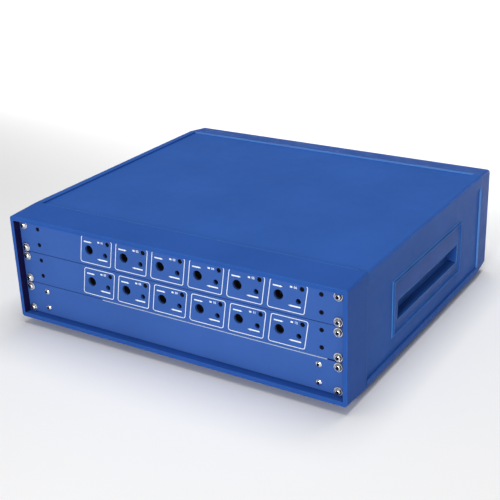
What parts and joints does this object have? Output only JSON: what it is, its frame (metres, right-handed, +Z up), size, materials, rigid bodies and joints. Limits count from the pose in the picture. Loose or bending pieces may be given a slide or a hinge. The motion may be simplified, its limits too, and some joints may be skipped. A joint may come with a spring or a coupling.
{
  "type": "power distribution box",
  "caption": "Blue three-unit-high desktop case with recessed side handles and slide-in panels: two with rows of outlined input, output and lamp holes over a blank one.",
  "frame": {"origin": "on the surface the box stands on, under the middle of the case", "axes": "+X to the right seen from the front, +Y towards the back, +Z up; the panels face -Y"},
  "size_m": [0.4956, 0.4524, 0.1606],
  "materials": {
    "case_paint": "fine-textured powder coat, satin",
    "bezel_paint": "fine-textured powder coat, satin",
    "panel_paint": "smooth satin coat",
    "handle_plastic": "moulded, fine texture",
    "bare_steel": "zinc plated sheet",
    "bright_screw": "bright plated",
    "black_screw": "black oxide",
    "socket_black": "moulded",
    "lamp_lens": "smoked lens",
    "circuit_board": "solder mask",
    "relay_case": "moulded",
    "transformer_core": "varnished laminations",
    "connector_plastic": "moulded",
    "pin_brass": "bright",
    "rocker_plastic": "moulded",
    "fuse_glass": "clear",
    "wire_jacket": "insulation",
    "foot_plastic": "moulded",
    "pad_rubber": "soft"
  },
  "bodies": {
    "case": {"front_bezel": "bezel_paint", "rear_bezel": "bezel_paint", "rail_top_left": "case_paint", "rail_top_right": "case_paint", "rail_bottom_left": "case_paint", "rail_bottom_right": "case_paint", "top_cover": "case_paint", "bottom_cover": "case_paint", "side_panel_left": "case_paint", "side_panel_right": "case_paint", "handle_left": "handle_plastic", "handle_right": "handle_plastic", "rack_rail_left": "bare_steel", "rack_rail_right": "bare_steel", "unit_runners": "bare_steel", "frame_screws": "bare_steel", "backplane": "circuit_board", "backplane_bracket": "bare_steel", "bus_sockets": "connector_plastic", "rear_panel": "panel_paint", "rear_panel_screws": "bright_screw", "power_inlet": "socket_black", "inlet_pins": "pin_brass", "switch_frame": "socket_black", "supply_wires": "wire_jacket", "feet": "foot_plastic", "foot_pads": "pad_rubber", "foot_screws": "bare_steel"},
    "upper_unit": {"panel_upper": "panel_paint", "tray_upper": "bare_steel", "board_upper": "circuit_board", "input_sockets_upper": "socket_black", "output_sockets_upper": "socket_black", "channel_lamps_upper": "lamp_lens", "relays_upper": "relay_case", "bus_plug_upper": "connector_plastic", "rack_screws_upper": "bright_screw", "panel_screws_upper": "black_screw"},
    "lower_unit": {"panel_lower": "panel_paint", "tray_lower": "bare_steel", "board_lower": "circuit_board", "input_sockets_lower": "socket_black", "output_sockets_lower": "socket_black", "channel_lamps_lower": "lamp_lens", "relays_lower": "relay_case", "bus_plug_lower": "connector_plastic", "rack_screws_lower": "bright_screw", "panel_screws_lower": "black_screw"},
    "power_unit": {"panel_power": "panel_paint", "tray_power": "bare_steel", "supply_board": "circuit_board", "transformer": "transformer_core", "bus_plug_power": "connector_plastic", "rack_screws_power": "bright_screw", "panel_screws_power": "bright_screw"},
    "switch_rocker": {"rocker": "rocker_plastic"},
    "fuse_carrier": {"fuse_drawer": "socket_black", "mains_fuse": "fuse_glass"},
    "left_leg": {"tilt_leg_left": "foot_plastic"},
    "right_leg": {"tilt_leg_right": "foot_plastic"}
  },
  "joints": [
    {"name": "upper_unit_slide", "type": "slide", "parent": "case", "child": "upper_unit", "axis": [0, -1, 0], "range_m": [0, 0.36]},
    {"name": "lower_unit_slide", "type": "slide", "parent": "case", "child": "lower_unit", "axis": [0, -1, 0], "range_m": [0, 0.36]},
    {"name": "power_unit_slide", "type": "slide", "parent": "case", "child": "power_unit", "axis": [0, -1, 0], "range_m": [0, 0.36]},
    {"name": "rocker_hinge", "type": "hinge", "parent": "case", "child": "switch_rocker", "pos_m": [0.19, 0.2182, 0.0843], "axis": [-1, 0, 0], "range_deg": [0, 14]},
    {"name": "fuse_drawer_slide", "type": "slide", "parent": "case", "child": "fuse_carrier", "axis": [0, 1, 0], "range_m": [0, 0.013]},
    {"name": "left_leg_hinge", "type": "hinge", "parent": "case", "child": "left_leg", "pos_m": [-0.2028, -0.1612, 0.0039], "axis": [-1, 0, 0], "range_deg": [0, 80]},
    {"name": "right_leg_hinge", "type": "hinge", "parent": "case", "child": "right_leg", "pos_m": [0.2028, -0.1612, 0.0039], "axis": [-1, 0, 0], "range_deg": [0, 80]}
  ]
}
